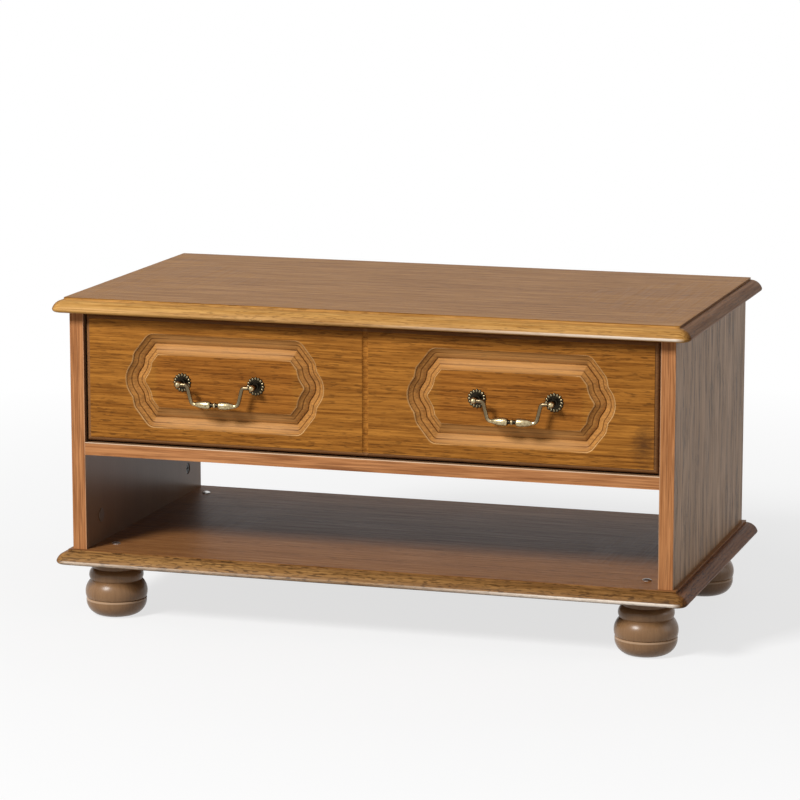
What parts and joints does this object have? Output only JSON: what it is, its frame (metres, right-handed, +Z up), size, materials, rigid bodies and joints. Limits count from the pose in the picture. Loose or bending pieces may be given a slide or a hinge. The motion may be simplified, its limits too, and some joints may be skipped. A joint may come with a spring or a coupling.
{
  "type": "coffee table",
  "caption": "Low coffee table on turned feet, with a wide panelled drawer on bail handles over an open shelf.",
  "frame": {"origin": "on the floor, under the middle of the table", "axes": "+Z up, the drawer's front faces -Y, +X to the right of a viewer in front"},
  "size_m": [0.81, 0.45, 0.41],
  "materials": {
    "oak_veneer": "satin oak veneer",
    "drawer_front_wood": "satin oak grain",
    "edge_band": "satin oak edge band",
    "turned_wood": "satin lacquer",
    "drawer_box_wood": "matt",
    "dowel_wood": "matt",
    "antique_brass": "antique, dark in the recesses",
    "steel": "zinc plated",
    "zinc": "dull cast zinc",
    "painted_steel": "white powder coat",
    "cover_plastic": "matt",
    "roller_plastic": "matt nylon"
  },
  "bodies": {
    "carcass": {"back_board": "oak_veneer", "base_board": "oak_veneer", "cabinet_roller_rivets": "steel", "cabinet_runner_left": "painted_steel", "cabinet_runner_right": "painted_steel", "cabinet_runner_screws": "steel", "cam_covers": "cover_plastic", "carcass_dowels": "dowel_wood", "edge_band_left": "edge_band", "edge_band_middle": "edge_band", "edge_band_right": "edge_band", "foot_back_left": "turned_wood", "foot_back_right": "turned_wood", "foot_bolts": "steel", "foot_front_left": "turned_wood", "foot_front_right": "turned_wood", "lower_cam_bolts": "steel", "lower_cams": "zinc", "middle_board": "oak_veneer", "middle_cam_bolts": "steel", "middle_cams": "zinc", "side_panel_left": "oak_veneer", "side_panel_right": "oak_veneer", "top_board": "oak_veneer", "upper_cam_bolts": "steel", "upper_cams": "zinc"},
    "drawer": {"drawer_back": "drawer_box_wood", "drawer_bottom": "drawer_box_wood", "drawer_dowels": "dowel_wood", "drawer_front": "drawer_front_wood", "drawer_roller_rivets": "steel", "drawer_runner_left": "painted_steel", "drawer_runner_right": "painted_steel", "drawer_runner_screws": "steel", "drawer_side_left": "drawer_box_wood", "drawer_side_right": "drawer_box_wood", "handle_screws": "steel", "left_handle_post_left": "antique_brass", "left_handle_post_right": "antique_brass", "left_handle_rosette_left": "antique_brass", "left_handle_rosette_right": "antique_brass", "right_handle_post_left": "antique_brass", "right_handle_post_right": "antique_brass", "right_handle_rosette_left": "antique_brass", "right_handle_rosette_right": "antique_brass"},
    "left_bail": {"left_handle_bail": "antique_brass"},
    "right_bail": {"right_handle_bail": "antique_brass"},
    "cabinet_roller_left": {"cabinet_roller_left": "roller_plastic"},
    "cabinet_roller_right": {"cabinet_roller_right": "roller_plastic"},
    "drawer_roller_left": {"drawer_roller_left": "roller_plastic"},
    "drawer_roller_right": {"drawer_roller_right": "roller_plastic"}
  },
  "joints": [
    {"name": "drawer_slide", "type": "slide", "parent": "carcass", "child": "drawer", "axis": [0, -1, 0], "range_m": [0, 0.265]},
    {"name": "left_bail_swing", "type": "hinge", "parent": "drawer", "child": "left_bail", "pos_m": [-0.189, -0.219, 0.30925], "axis": [-1, 0, 0], "range_deg": [-25, 205]},
    {"name": "cabinet_roller_left_turn", "type": "hinge", "parent": "carcass", "child": "cabinet_roller_left", "pos_m": [-0.3603, -0.169, 0.2525], "axis": [1, 0, 0], "range_deg": [0, 1690]},
    {"name": "drawer_roller_left_turn", "type": "hinge", "parent": "drawer", "child": "drawer_roller_left", "pos_m": [-0.3603, 0.155, 0.2525], "axis": [1, 0, 0], "range_deg": [0, 1520]},
    {"name": "right_bail_swing", "type": "hinge", "parent": "drawer", "child": "right_bail", "pos_m": [0.189, -0.219, 0.30925], "axis": [-1, 0, 0], "range_deg": [-25, 205]},
    {"name": "cabinet_roller_right_turn", "type": "hinge", "parent": "carcass", "child": "cabinet_roller_right", "pos_m": [0.3603, -0.169, 0.2525], "axis": [1, 0, 0], "range_deg": [0, 1690]},
    {"name": "drawer_roller_right_turn", "type": "hinge", "parent": "drawer", "child": "drawer_roller_right", "pos_m": [0.3603, 0.155, 0.2525], "axis": [1, 0, 0], "range_deg": [0, 1520]}
  ],
  "couplings": [
    {"joint": "cabinet_roller_left_turn", "follows": "drawer_slide", "rad_per_m": 111.11},
    {"joint": "drawer_roller_left_turn", "follows": "drawer_slide", "rad_per_m": 100},
    {"joint": "cabinet_roller_right_turn", "follows": "drawer_slide", "rad_per_m": 111.11},
    {"joint": "drawer_roller_right_turn", "follows": "drawer_slide", "rad_per_m": 100}
  ]
}
